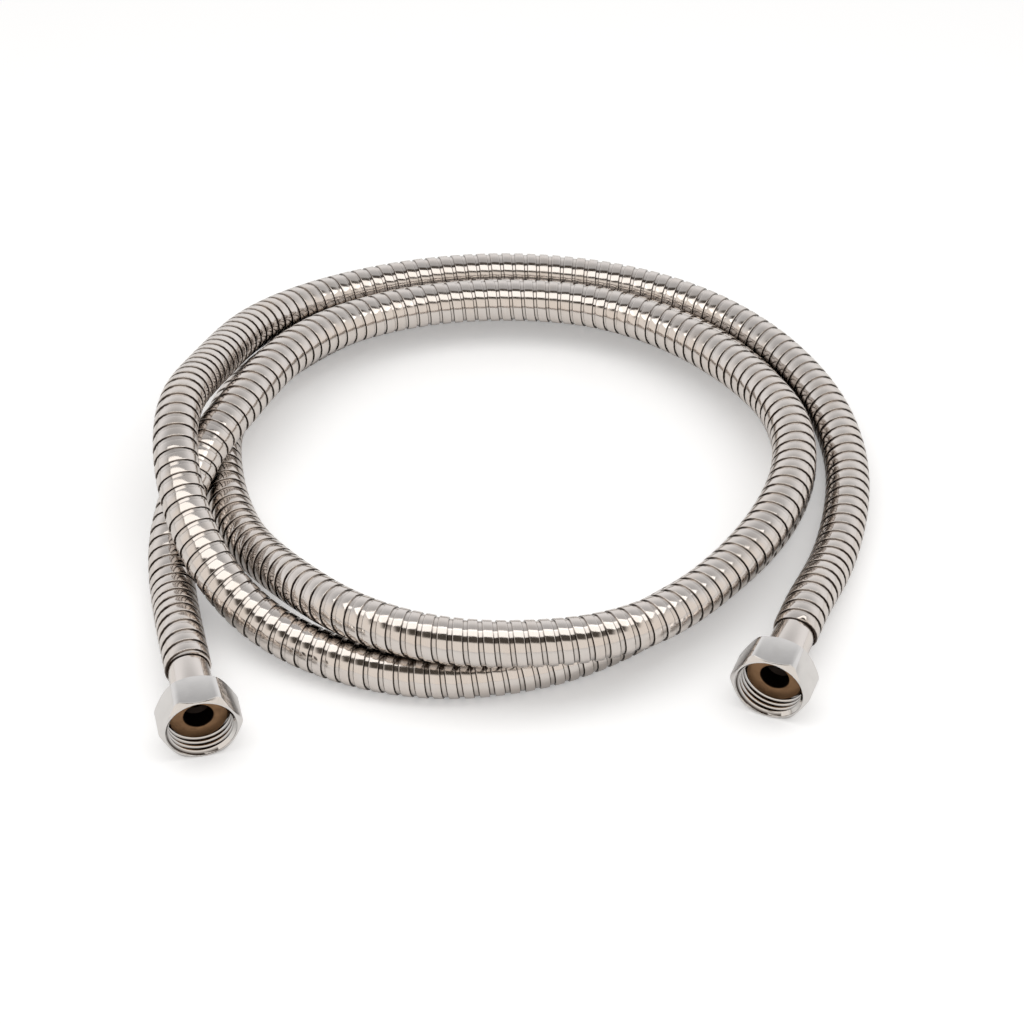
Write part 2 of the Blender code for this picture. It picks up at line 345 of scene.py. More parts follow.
def place(item, matrix):
    """Move a piece to its place and leave the place in its mesh."""
    activate(item)
    item.matrix_world = matrix
    bpy.ops.object.transform_apply(location=True, rotation=True, scale=True)


def soften(item, width, angle):
    """Round the edges whose faces turn by more than an angle, in degrees."""
    bevel = item.modifiers.new("edges", "BEVEL")
    bevel.width = width
    bevel.segments = 2
    bevel.limit_method = "ANGLE"
    bevel.angle_limit = math.radians(angle)
    bevel.harden_normals = False
    apply_modifiers(item)


def smooth(item, angle):
    activate(item)
    bpy.ops.object.shade_smooth_by_angle(angle=math.radians(angle))


def extruded_outline(name, outline, closed):
    """Chain of edges in the XZ plane, extruded point by point from one vertex."""
    bpy.ops.mesh.primitive_plane_add(size=0.001, location=(0, 0, 0))
    item = named(name)
    bpy.ops.object.mode_set(mode="EDIT")
    bpy.ops.mesh.select_all(action="SELECT")
    bpy.ops.mesh.merge(type="CENTER")
    radius, depth = outline[0]
    bpy.ops.transform.translate(value=(radius, 0, depth))
    points = list(outline[1:])
    if closed:
        points.append(outline[0])
    for next_radius, next_depth in points:
        step = (next_radius - radius, 0, next_depth - depth)
        bpy.ops.mesh.extrude_region_move(TRANSFORM_OT_translate={"value": step})
        radius, depth = next_radius, next_depth
    bpy.ops.mesh.select_all(action="SELECT")
    bpy.ops.mesh.remove_doubles(threshold=MERGE_DISTANCE)
    return item


def turned(name, outline, segments, closed=True):
    """Solid of revolution about Z. An open outline starts and ends on the axis."""
    deselect_all()
    item = extruded_outline(name, outline, closed)
    bpy.ops.mesh.select_all(action="SELECT")
    bpy.ops.mesh.spin(steps=segments, angle=2 * math.pi, center=(0, 0, 0), axis=(0, 0, 1))
    bpy.ops.mesh.select_all(action="SELECT")
    bpy.ops.mesh.remove_doubles(threshold=MERGE_DISTANCE)
    bpy.ops.mesh.normals_make_consistent(inside=False)
    bpy.ops.object.mode_set(mode="OBJECT")
    return item


def store(item, name, values):
    """Keep one number for each vertex, for the materials to read."""
    attribute = item.data.attributes.new(name, "FLOAT", "POINT")
    attribute.data.foreach_set("value", np.asarray(values, dtype=np.float32))


def vertex_places(item):
    places = np.zeros(len(item.data.vertices) * 3)
    item.data.vertices.foreach_get("co", places)
    return places.reshape(-1, 3)


def ramp(values, low, high):
    """Share of the way from low to high: 0 below low, and 1 above high."""
    return np.clip((values - low) / (high - low), 0.0, 1.0)


# Route

def heading_out(degrees):
    """Unit vector from the hose out through a fitting's mouth."""
    angle = math.radians(degrees)
    return Vector((math.sin(angle), -math.cos(angle), 0.0))


def casing_end(side):
    x, y = ENDS[side][0]
    return Vector((COIL_CENTRE[0] + x, COIL_CENTRE[1] + y, AXIS_HEIGHT))


def fitting_place(side, fittings):
    """Matrix from a fitting's own axes, with Z from the mouth to the hose, to the table."""
    out = heading_out(ENDS[side][1])
    mouth = casing_end(side) + out * (fittings.nut_length + fittings.ferrule_showing)
    sideways = Vector((0.0, 0.0, 1.0)).cross(-out)
    turn = Matrix((sideways, Vector((0.0, 0.0, 1.0)), -out)).transposed()
    return Matrix.Translation(mouth) @ turn.to_4x4()


def chosen_points():
    points = [casing_end("right") - heading_out(ENDS["right"][1]) * STRAIGHT_RUN]
    for degrees, radius, height in ROUTE:
        angle = math.radians(degrees)
        x = COIL_CENTRE[0] + radius * math.cos(angle)
        y = COIL_CENTRE[1] + radius * math.sin(angle)
        points.append(Vector((x, y, height)))
    points.append(casing_end("left") - heading_out(ENDS["left"][1]) * STRAIGHT_RUN)
    return points


def smooth_curve(points, start_way, end_way, steps_each=24):
    """Cubic spline through the points, with a given direction at each end."""
    places = np.array([tuple(point) for point in points])
    steps = np.linalg.norm(np.diff(places, axis=0), axis=1)
    slopes = np.diff(places, axis=0) / steps[:, None]
    count = len(places)
    system = np.zeros((count, count))
    known = np.zeros((count, 3))
    system[0, :2] = 2 * steps[0], steps[0]
    known[0] = 6 * (slopes[0] - np.array(start_way))
    system[-1, -2:] = steps[-1], 2 * steps[-1]
    known[-1] = 6 * (np.array(end_way) - slopes[-1])
    for row in range(1, count - 1):
        before, after = steps[row - 1], steps[row]
        system[row, row - 1:row + 2] = before, 2 * (before + after), after
        known[row] = 6 * (slopes[row] - slopes[row - 1])
    bends = np.linalg.solve(system, known)
    curve = []
    for row in range(count - 1):
        step = steps[row]
        for share in np.linspace(0, 1, steps_each, endpoint=False):
            near, far = (1 - share) * step, share * step
            cubic = (bends[row] * near ** 3 + bends[row + 1] * far ** 3) / (6 * step)
            start = (places[row] / step - bends[row] * step / 6) * near
            end = (places[row + 1] / step - bends[row + 1] * step / 6) * far
            curve.append(cubic + start + end)
    curve.append(places[-1])
    return np.array(curve)


class Centreline:
    """The casing's centreline, sampled evenly, with its own directions."""

    def __init__(self, spacing=0.001):
        start_way = -heading_out(ENDS["right"][1])
        end_way = heading_out(ENDS["left"][1])
        curve = smooth_curve(chosen_points(), start_way, end_way)
        curve = np.vstack([tuple(casing_end("right")), curve, tuple(casing_end("left"))])
        lengths = np.linalg.norm(np.diff(curve, axis=0), axis=1)
        travelled = np.concatenate([[0.0], np.cumsum(lengths)])
        self.length = travelled[-1]
        count = round(self.length / spacing) + 1
        self.stations = np.linspace(0.0, self.length, count)
        self.points = self.columns(self.stations, travelled, curve)
        ways = np.gradient(self.points, self.stations, axis=0)
        self.ways = ways / np.linalg.norm(ways, axis=1)[:, None]
        self.bends = np.gradient(self.ways, self.stations, axis=0)

    @staticmethod
    def columns(stations, known_stations, rows):
        picked = [np.interp(stations, known_stations, rows[:, axis]) for axis in range(3)]
        return np.stack(picked, axis=-1)

    def at(self, stations):
        """Point, direction across, direction up and bend at each station."""
        point = self.columns(stations, self.stations, self.points)
        way = self.columns(stations, self.stations, self.ways)
        bend = self.columns(stations, self.stations, self.bends)
        across = np.cross(way, np.array([0.0, 0.0, 1.0]))
        across /= np.linalg.norm(across, axis=-1)[..., None]
        up = np.cross(across, way)
        return point, across, up, bend


# Casing

# Flat sides round the pipe
SIDES = 24

# One turn of the strip has eight points: four up each side of its band. Each of the eight
# lengths between them, the groove's floor being the last, has an equal share of the UV map.
SECTION_POINTS = 8
WALL_SHARE = 1 / SECTION_POINTS
BAND_MIDDLE = 3.5 / SECTION_POINTS

# Rounded edge of the band: inset from its end, and depth below its top
BAND_EDGE = [(0.00022, 0.0), (0.00006, 0.00001), (0.0, 0.00007)]
FOOT_SPREAD = 0.00002

# Turns before each end of the casing, and the least groove left in the tightest bend
LEAD_TURNS = 1.5
LEAST_GROOVE = 0.00008

# Uneven lie of the bands: height, and waves along the hose in radians a metre
LEAN_HEIGHT = 0.00002
LEAN_WAVE, LEAN_DRIFT, LEAN_SLOW_WAVE = 911.0, 1.3, 217.0

# How far down and up the pipe's sides face where the grooves' painted shade and the crest's
# lessening of the corner shade start and are full: 0 is level, and 1 is straight down or up
LOW_GROOVE_SHADE = (0.409, 0.864)
CREST = (0.84, 0.98)

# Length of hose that doesn't shade itself, and places reckoned at a time
OWN_LENGTH = 0.06
PLACES_AT_ONCE = 4000

# Distance between the rings of the smooth inside
INSIDE_SPACING = 0.012


def angles_round():
    return np.arange(SIDES) * 2 * math.pi / SIDES


def outward(across, up, angles):
    """Unit vectors from the centreline at each angle round it."""
    return across * np.cos(angles)[:, None] + up * np.sin(angles)[:, None]


def band_section(hose):
    """Across the raised band: offset from its middle, and depth below its top."""
    half = hose.band / 2
    edge = [*BAND_EDGE, (-FOOT_SPREAD, hose.groove)]
    low_side = [(-half + inset, depth) for inset, depth in reversed(edge)]
    high_side = [(half - inset, depth) for inset, depth in edge]
    return low_side + high_side


def contact_shade(line, hose, places, stations):
    """How closely another part of the hose lies against each place, for painted shade between strands: 1
    where it touches.
    """
    centres = line.points[::2]
    centre_stations = line.stations[::2]
    shade_at = np.zeros(len(places))
    for first in range(0, len(places), PLACES_AT_ONCE):
        rows = slice(first, first + PLACES_AT_ONCE)
        apart = np.linalg.norm(places[rows, None, :] - centres[None], axis=-1)
        own = np.abs(stations[rows, None] - centre_stations[None]) < OWN_LENGTH
        clearance = np.where(own, np.inf, apart).min(axis=1) - hose.radius
        shade_at[rows] = 1 - ramp(clearance, 0.0, hose.shade_reach)
    return shade_at


def wound_strip(line, hose):
    """Outside of the casing: vertices, faces, places on the strip, and for each vertex how
    much painted shade it gets and how near it is to the top of the pipe.

    The middle of the band runs round the pipe and along it, right-handed. In a bend the
    bands keep their width and the grooves open on the outside of the bend.
    """
    section = band_section(hose)
    each = len(section)
    turns = math.ceil(line.length / hose.pitch + 2 * LEAD_TURNS)
    angles = angles_round()
    turn = np.repeat(np.arange(turns), each)
    offset = np.tile([row[0] for row in section], turns)
    depth = np.tile([row[1] for row in section], turns)
    middle = hose.pitch * (turn[:, None] - LEAD_TURNS + angles / (2 * math.pi))
    point, across, up, bend = line.at(np.clip(middle, 0.0, line.length))
    radial = outward(across, up, -angles)
    stretch = 1 - hose.radius * (bend * radial).sum(axis=-1)
    limit = (hose.pitch - LEAST_GROOVE) / 2
    moved = np.clip(offset[:, None] / stretch, -limit, limit)
    lean = LEAN_HEIGHT * np.sin(middle * LEAN_WAVE + LEAN_DRIFT * np.sin(middle * LEAN_SLOW_WAVE))
    raised = depth < hose.groove
    depth = depth[:, None] + lean * (np.sign(offset) * raised)[:, None]
    station = middle + moved
    beyond = (station < 0.0) | (station > line.length)
    station = np.clip(station, 0.0, line.length)
    point, across, up, bend = line.at(station)
    radial = outward(across, up, -angles)
    radius = np.where(beyond, hose.radius - hose.groove, hose.radius - depth)
    vertices = (point + radial * radius[..., None]).reshape(-1, 3)
    facing_up = radial[..., 2]
    # Painted shade on the grooves' floors that face down, and where other strands lie close
    low_groove_shade = ramp(-facing_up, *LOW_GROOVE_SHADE) * ~raised[:, None]
    shades = np.maximum(contact_shade(line, hose, vertices, station.ravel()), low_groove_shade.ravel())
    # How near the pipe's top each vertex lies; the painted corner shade is less there
    crests = ramp(facing_up.ravel(), *CREST)

    rows = turns * each - each - 1
    row, side = np.meshgrid(np.arange(rows), np.arange(SIDES), indexing="ij")
    last = side == SIDES - 1
    next_side = np.where(last, 0, side + 1)
    shifted = np.where(last, row + each, row)
    faces = np.stack([
        row * SIDES + side,
        (row + 1) * SIDES + side,
        (shifted + 1) * SIDES + next_side,
        shifted * SIDES + next_side,
    ], axis=-1).reshape(-1, 4)
    along = row // each + side / SIDES
    low = (row % each) / each
    coordinates = np.stack([
        np.stack([along, low], axis=-1),
        np.stack([along, low + 1 / each], axis=-1),
        np.stack([along + 1 / SIDES, low + 1 / each], axis=-1),
        np.stack([along + 1 / SIDES, low], axis=-1),
    ], axis=-2).reshape(-1, 2)
    return vertices, faces, coordinates, shades, crests


def smooth_inside(line, hose, first):
    """Rings of the casing's inside and of its two end faces, numbered from first."""
    rings = max(2, round(line.length / INSIDE_SPACING))
    stations = np.linspace(0.0, line.length, rings)
    stations = np.concatenate([[0.0], stations, [line.length]])
    radii = np.full(len(stations), hose.inner_radius)
    radii[0] = radii[-1] = hose.radius - hose.groove
    point, across, up, bend = line.at(stations)
    radial = outward(across[:, None], up[:, None], angles_round())
    vertices = (point[:, None] + radial * radii[:, None, None]).reshape(-1, 3)
    ring, side = np.meshgrid(np.arange(len(stations) - 1), np.arange(SIDES), indexing="ij")
    next_side = (side + 1) % SIDES
    faces = first + np.stack([
        ring * SIDES + side,
        ring * SIDES + next_side,
        (ring + 1) * SIDES + next_side,
        (ring + 1) * SIDES + side,
    ], axis=-1).reshape(-1, 4)
    return vertices, faces


def casing_mesh(line, hose):
    outer, faces, coordinates, shades, crests = wound_strip(line, hose)
    inner, inner_faces = smooth_inside(line, hose, len(outer))
    vertices = np.vstack([outer, inner])
    all_faces = np.vstack([faces, inner_faces])
    data = bpy.data.meshes.new("hose_casing_wound")
    data.from_pydata(vertices.tolist(), [], all_faces.tolist())
    strip = data.uv_layers.new(name="strip")
    inner_coordinates = np.zeros((len(inner_faces) * 4, 2))
    strip.data.foreach_set("uv", np.vstack([coordinates, inner_coordinates]).ravel())
    item = new_object("hose_casing_wound", data)
    store(item, "shade", np.concatenate([shades, np.zeros(len(inner))]))
    store(item, "crest", np.concatenate([crests, np.zeros(len(inner))]))
    bpy.ops.object.mode_set(mode="EDIT")
    bpy.ops.mesh.select_all(action="SELECT")
    bpy.ops.mesh.remove_doubles(threshold=STRIP_MERGE_DISTANCE)
    bpy.ops.mesh.dissolve_degenerate(threshold=STRIP_MERGE_DISTANCE)
    bpy.ops.mesh.select_all(action="SELECT")
    bpy.ops.mesh.normals_make_consistent(inside=False)
    bpy.ops.mesh.delete_loose()
    bpy.ops.object.mode_set(mode="OBJECT")
    smooth(item, angle=75)
    return item


# Materials

class Nodes:
    """Short ways to add nodes to a material or to the world."""

    def __init__(self, tree):
        self.nodes = tree.nodes
        self.links = tree.links

    def node(self, kind, **values):
        made = self.nodes.new(kind)
        for name, value in values.items():
            setattr(made, name, value)
        return made

    def join(self, source, target):
        self.links.new(source, target)

    def fill(self, socket, value):
        """Join another node's output to a socket, or set the socket to a number or colour."""
        if isinstance(value, bpy.types.NodeSocket):
            self.join(value, socket)
        elif socket.type == "RGBA":
            socket.default_value = (*value, 1.0)
        else:
            socket.default_value = value

    def reckon(self, operation, first, second=0.0):
        """One step of arithmetic."""
        made = self.node("ShaderNodeMath", operation=operation)
        self.fill(made.inputs[0], first)
        self.fill(made.inputs[1], second)
        return made.outputs["Value"]

    def parts(self, vector):
        made = self.node("ShaderNodeSeparateXYZ")
        self.join(vector, made.inputs["Vector"])
        return made.outputs["X"], made.outputs["Y"], made.outputs["Z"]

    def spread(self, value, low, high, to_low, to_high, easing="LINEAR"):
        made = self.node("ShaderNodeMapRange", interpolation_type=easing)
        for socket, number in zip(made.inputs[1:5], (low, high, to_low, to_high)):
            socket.default_value = number
        self.join(value, made.inputs["Value"])
        return made.outputs["Result"]

    def blend(self, share, first, second):
        made = self.node("ShaderNodeMix", data_type="RGBA")
        self.join(share, made.inputs["Factor"])
        for name, colour in (("A", first), ("B", second)):
            socket = next(one for one in made.inputs if one.name == name and one.type == "RGBA")
            self.fill(socket, colour)
        return next(one for one in made.outputs if one.type == "RGBA")


class Finish(Nodes):
    """A material, with its shader and the patterns that the finishes share."""

    def __init__(self, name):
        self.material = bpy.data.materials.new(name)
        self.material.use_nodes = True
        super().__init__(self.material.node_tree)
        self.shader = self.nodes["Principled BSDF"]

    def attribute(self, name):
        return self.node("ShaderNodeAttribute", attribute_name=name).outputs["Fac"]

    def objects(self):
        return self.node("ShaderNodeTexCoord").outputs["Object"]

    def stretched(self, vector, scale):
        made = self.node("ShaderNodeMapping")
        made.inputs["Scale"].default_value = scale
        self.join(vector, made.inputs["Vector"])
        return made.outputs["Vector"]

    def noise(self, vector, scale, detail=3.0, roughness=0.5):
        made = self.node("ShaderNodeTexNoise")
        made.inputs["Scale"].default_value = scale
        made.inputs["Detail"].default_value = detail
        made.inputs["Roughness"].default_value = roughness
        self.join(vector, made.inputs["Vector"])
        return made.outputs["Fac"]

    def lathe_lines(self, distance, scale):
        """Noise that changes with one distance only, as the marks of turning do."""
        made = self.node("ShaderNodeTexNoise", noise_dimensions="1D")
        made.inputs["Scale"].default_value = scale
        self.join(distance, made.inputs["W"])
        return made.outputs["Fac"]

    def bump(self, height, strength, distance):
        made = self.node("ShaderNodeBump")
        made.inputs["Strength"].default_value = strength
        made.inputs["Distance"].default_value = distance
        self.join(height, made.inputs["Height"])
        self.join(made.outputs["Normal"], self.shader.inputs["Normal"])

    def set(self, name, value):
        self.shader.inputs[name].default_value = value

    def give(self, name, source):
        self.join(source, self.shader.inputs[name])


def shade(colour, factor):
    return tuple(min(1.0, channel * factor) for channel in colour)


# Painted shade in the corners across one turn of the strip: place, counted in the strip's eight lengths,
# and darkness
PAINTED_CORNER_SHADE = [
    (0.0, 1.0), (0.9, 0.75), (1.3, 0.0),
    (5.7, 0.0), (6.1, 0.75), (7.1, 1.0), (7.26, 0.1), (7.74, 0.1), (7.9, 1.0),
]
# Share of the painted corner shade left on the top of the pipe
CREST_SHADE_SHARE = 0.3


def wound_steel(hose):
    """Polished strip: lines drawn along it, uneven sheen, and painted shade in the grooves' corners and
    where strands touch.
    """
    finish = Finish("wound_nickel_steel")
    strip = finish.node("ShaderNodeUVMap", uv_map="strip").outputs["UV"]
    lines = finish.noise(finish.stretched(strip, (3.0, 70.0, 1.0)), 1.0, 4.0, 0.6)
    patches = finish.noise(finish.objects(), 140.0, 2.0)
    band = finish.blend(finish.spread(lines, 0.3, 0.7, 0.0, 1.0), shade(hose.colour, 0.93), hose.colour)
    warm = (hose.colour[0] * 0.95, hose.colour[1] * 0.91, hose.colour[2] * 0.87)
    band = finish.blend(finish.spread(patches, 0.45, 0.75, 0.0, 0.6), band, warm)

    # Painted shade in the grooves' corners, with less of it on the top of the pipe
    across = finish.parts(strip)[1]
    corners = finish.node("ShaderNodeValToRGB")
    stops = corners.color_ramp.elements
    while len(stops) < len(PAINTED_CORNER_SHADE):
        stops.new(0.5)
    for stop, (place_across, darkness) in zip(stops, PAINTED_CORNER_SHADE):
        stop.position = place_across * WALL_SHARE
        stop.color = (darkness, darkness, darkness, 1.0)
    finish.join(across, corners.inputs["Fac"])
    shade_left_on_crest = finish.spread(finish.attribute("crest"), 0.0, 1.0, 1.0, CREST_SHADE_SHARE)
    corner = finish.reckon("MULTIPLY", corners.outputs["Color"], shade_left_on_crest)
    metal = finish.blend(corner, band, hose.painted_shade_colour)
    # Painted shade where another strand lies close, and on the grooves' floors that face down
    near = finish.spread(finish.attribute("shade"), 0.1, 0.95, 0.0, 1.0)
    finish.give("Base Color", finish.blend(near, metal, hose.painted_shade_colour))
    finish.set("Metallic", 1.0)
    finish.give("Roughness", finish.spread(patches, 0.3, 0.7, 0.09, 0.16))

    # The band's flat top bulges: 0 in its middle, and -1 from its edges on
    inset = finish.reckon("SUBTRACT", across, BAND_MIDDLE)
    fall = finish.reckon("MULTIPLY", finish.reckon("MULTIPLY", inset, inset), -4 / WALL_SHARE ** 2)
    crown = finish.reckon("MAXIMUM", fall, -1.0)
    height = finish.reckon("ADD", finish.reckon("MULTIPLY", lines, 0.15), crown)
    finish.bump(height, 1.0, hose.crown)
    return finish.material


def chrome(fittings):
    """Bright plating over a polished turned surface, with painted shade deep in the thread."""
    finish = Finish("bright_chrome_plating")
    place_of = finish.objects()
    cloud = finish.noise(place_of, 260.0, 3.0)
    grain = finish.noise(place_of, 2400.0, 2.0)
    bright = fittings.chrome_colour
    colour = finish.blend(finish.spread(cloud, 0.35, 0.65, 0.0, 1.0), shade(bright, 0.95), bright)
    # Painted shade deep in the thread
    root = finish.spread(finish.attribute("root"), 0.1, 0.75, 0.0, 1.0)
    finish.give("Base Color", finish.blend(root, colour, fittings.thread_shade_colour))
    finish.set("Metallic", 1.0)
    finish.give("Roughness", finish.spread(cloud, 0.3, 0.7, 0.07, 0.13))
    finish.bump(grain, 0.06, 0.00002)
    return finish.material


def plated_sleeve(hose):
    """Ferrule: plated tube with fine lines round it."""
    finish = Finish("plated_ferrule_steel")
    lines = finish.lathe_lines(finish.attribute("along"), 9000.0)
    cloud = finish.noise(finish.objects(), 300.0, 2.0)
    finish.give("Base Color", finish.blend(lines, shade(hose.colour, 0.98), shade(hose.colour, 1.08)))
    finish.set("Metallic", 1.0)
    finish.give("Roughness", finish.spread(cloud, 0.3, 0.7, 0.12, 0.2))
    finish.bump(lines, 0.1, 0.00002)
    return finish.material


def turned_brass(fittings):
    """Brass face with rings from the lathe tool, and painted shade in the bore."""
    finish = Finish("turned_brown_brass")
    rings = finish.lathe_lines(finish.attribute("from_axis"), 5200.0)
    stain = finish.noise(finish.objects(), 420.0, 4.0)
    brass = fittings.brass_colour
    colour = finish.blend(rings, shade(brass, 0.82), shade(brass, 1.15))
    colour = finish.blend(finish.spread(stain, 0.4, 0.7, 0.0, 0.55), colour, shade(brass, 0.6))
    # Painted shade in the bore
    finish.give("Base Color", finish.blend(finish.attribute("bore"), colour, fittings.bore_shade_colour))
    finish.set("Metallic", 0.75)
    finish.give("Roughness", finish.spread(stain, 0.3, 0.7, 0.36, 0.5))
    finish.bump(rings, 0.3, 0.00003)
    return finish.material


def soft_tube(hose):
    """Off-white soft tube with a faint mottle."""
    finish = Finish("off_white_soft_tube")
    cloud = finish.noise(finish.objects(), 180.0, 3.0)
    finish.give("Base Color", finish.blend(cloud, shade(hose.tube_colour, 0.93), hose.tube_colour))
    finish.set("Roughness", 0.55)
    return finish.material


# Fittings. Depths run along local Z, from the nut's mouth towards the hose.

TURNING_STEPS = 96
CLEARANCE = 0.0003
CUT_OVERRUN = 0.001

# Chamfer of the hexagon's ends: its angle, where it starts inside the flats, and how far
# the cutter reaches past the corners
CHAMFER_ANGLE = 42
CHAMFER_START = 0.00025
CORNER_OVERRUN = 0.0003
CORNER_SEGMENTS = 6

# Small bevels in the nut's hole: at the mouth, at the lip, and at the hose's end
MOUTH_EDGE, LIP_EDGE, BACK_EDGE = 0.0001, 0.0002, 0.0003

# Thread: half widths at the ridge's foot and tip, and its start, in pitches
RIDGE_FOOT, RIDGE_TIP, RIDGE_START = 0.47, 0.10, -1.1
RIDGE_TURNS, RIDGE_STEPS = 7, 60
RIDGE_SUNK = 0.00005
RIDGE_MARGIN = 0.0002

# Insert behind its flange: a neck, then a stem with barbs and a narrower bore
NECK_RADIUS, NECK_LENGTH = 0.00506, 0.0045
STEM_LENGTH, STEM_BORE = 0.0125, 0.0027
BARBS, BARB_DEPTH = 4, 0.0003
FLANGE_EDGE, BORE_EDGE, BORE_STEP = 0.0003, 0.00035, 0.0008

# Painted shade fills the insert's hole from this depth below its face, out to this far from its wall
DARK_DEPTH, DARK_MARGIN = 0.0003, 0.00012

# Ferrule: the tail that the casing sits over, its bore, and the gap before the casing
TAIL_RADIUS, TAIL_LENGTH, FERRULE_BORE = 0.00586, 0.0058, 0.00536
CASING_GAP, FERRULE_EDGE, FERRULE_STEPS = 0.0003, 0.0002, 72


def nut_envelope(fittings):
    corner = fittings.across_flats / math.sqrt(3) + CORNER_OVERRUN
    face = fittings.across_flats / 2 - CHAMFER_START
    chamfer = (corner - face) * math.tan(math.radians(CHAMFER_ANGLE))
    end = fittings.nut_length
    return [(0, 0), (face, 0), (corner, chamfer), (corner, end - chamfer), (face, end), (0, end)]


def nut_hollow(fittings):
    lip_radius = fittings.ferrule_radius + CLEARANCE
    lip_depth = fittings.socket_depth + fittings.flange_thickness + CLEARANCE
    root = fittings.thread_root
    mouth_radius = root + MOUTH_EDGE
    back_radius = lip_radius + BACK_EDGE
    end = fittings.nut_length
    return [
        (0, -CUT_OVERRUN), (mouth_radius, -CUT_OVERRUN), (mouth_radius, 0.0), (root, MOUTH_EDGE),
        (root, lip_depth), (lip_radius + LIP_EDGE, lip_depth), (lip_radius, lip_depth + LIP_EDGE),
        (lip_radius, end - BACK_EDGE), (back_radius, end), (back_radius, end + CUT_OVERRUN),
        (0, end + CUT_OVERRUN),
    ]


def thread_ridge(name, fittings):
    """Coil of the nut's thread, trimmed by the mouth's chamfer."""
    root = fittings.thread_root + RIDGE_SUNK
    crest = fittings.thread_radius
    pitch = fittings.thread_pitch
    foot, tip, start = pitch * RIDGE_FOOT, pitch * RIDGE_TIP, pitch * RIDGE_START
    outline = [(root, start - foot), (crest, start - tip), (crest, start + tip), (root, start + foot)]
    deselect_all()
    ridge = extruded_outline(name, outline, True)
    bpy.ops.object.mode_set(mode="OBJECT")
    screw = ridge.modifiers.new("thread", "SCREW")
    screw.axis = "Z"
    screw.screw_offset = pitch
    screw.iterations = RIDGE_TURNS
    screw.steps = screw.render_steps = RIDGE_STEPS
    screw.use_merge_vertices = False
    apply_modifiers(ridge)
    bpy.ops.object.mode_set(mode="EDIT")
    bpy.ops.mesh.select_all(action="SELECT")
    bpy.ops.mesh.fill_holes(sides=4)
    bpy.ops.mesh.normals_make_consistent(inside=False)
    bpy.ops.object.mode_set(mode="OBJECT")
    inner, outer = crest - RIDGE_MARGIN, root + RIDGE_MARGIN
    full_depth = root - crest + RIDGE_MARGIN + MOUTH_EDGE
    lip = fittings.socket_depth + fittings.flange_thickness
    space = turned(name + "_space", [
        (fittings.thread_root, RIDGE_MARGIN), (inner, full_depth), (inner, lip), (outer, lip),
        (outer, RIDGE_MARGIN),
    ], TURNING_STEPS)
    cut(ridge, space, "INTERSECT")
    return ridge


def round_corners(nut, fittings):
    """Round the hexagon's six long edges."""
    places = vertex_places(nut)
    weights = nut.data.attributes.new("bevel_weight_edge", "FLOAT", "EDGE")
    for edge in nut.data.edges:
        first, second = edge.vertices
        if abs(places[first, 2] - places[second, 2]) > fittings.nut_length / 2:
            weights.data[edge.index].value = 1.0
    bevel = nut.modifiers.new("corners", "BEVEL")
    bevel.limit_method = "WEIGHT"
    bevel.width = fittings.corner_rounding * math.tan(math.radians(30))
    bevel.segments = CORNER_SEGMENTS
    apply_modifiers(nut)


def finish_fitting(item, side, fittings, finish):
    """Smooth a fitting, lay it on its end of the hose and give it its finish."""
    smooth(item, angle=25)
    place(item, fitting_place(side, fittings))
    item.data.materials.clear()
    item.data.materials.append(finish)
    return item


def swivel_nut(side, fittings, finish):
    """Hexagon with a flat on the table, its ends chamfered, hollow and threaded."""
    deselect_all()
    corner = fittings.across_flats / math.sqrt(3)
    length = fittings.nut_length
    middle = (0, 0, length / 2)
    bpy.ops.mesh.primitive_cylinder_add(vertices=6, radius=corner, depth=length, location=middle)
    nut = named(side + "_nut_chromed")
    bpy.ops.object.mode_set(mode="EDIT")
    bpy.ops.mesh.select_all(action="SELECT")
    bpy.ops.transform.rotate(value=math.radians(30), orient_axis="Z", center_override=(0, 0, 0))
    bpy.ops.object.mode_set(mode="OBJECT")
    bpy.ops.object.transform_apply(location=True, rotation=True, scale=True)
    round_corners(nut, fittings)
    envelope = turned(side + "_envelope", nut_envelope(fittings), TURNING_STEPS, closed=False)
    cut(nut, envelope, "INTERSECT")
    hollow = turned(side + "_hollow", nut_hollow(fittings), TURNING_STEPS, closed=False)
    cut(nut, hollow, "DIFFERENCE")
    soften(nut, width=0.00013, angle=20)
    ridge = thread_ridge(side + "_thread", fittings)
    deselect_all()
    ridge.select_set(True)
    nut.select_set(True)
    bpy.context.view_layer.objects.active = nut
    bpy.ops.object.join()
    places = vertex_places(nut)
    from_axis = np.hypot(places[:, 0], places[:, 1])
    crest, root = fittings.thread_radius, fittings.thread_root
    threaded = (from_axis > crest - MOUTH_EDGE) & (from_axis < root + MOUTH_EDGE)
    threaded &= places[:, 2] > RIDGE_MARGIN + MOUTH_EDGE
    # How deep in the thread each vertex lies, for the painted shade there
    store(nut, "root", ramp(from_axis, crest, root) * threaded)
    return finish_fitting(nut, side, fittings, finish)


def insert_outline(fittings):
    face = fittings.socket_depth
    back = face + fittings.flange_thickness
    neck_end = back + NECK_LENGTH
    bore, flange = fittings.bore_radius, fittings.flange_radius
    outline = [
        (bore + BORE_EDGE, face), (flange - FLANGE_EDGE, face), (flange, face + FLANGE_EDGE),
        (flange, back), (NECK_RADIUS, back), (NECK_RADIUS, neck_end),
    ]
    barb_length = STEM_LENGTH / BARBS
    for barb in range(BARBS):
        start = neck_end + barb * barb_length
        outline.append((fittings.stem_radius, start))
        outline.append((fittings.stem_radius - BARB_DEPTH, start + barb_length))
    outline += [
        (STEM_BORE, neck_end + STEM_LENGTH), (STEM_BORE, neck_end - BORE_STEP),
        (bore, neck_end - 2 * BORE_STEP), (bore, face + BORE_EDGE),
    ]
    return outline


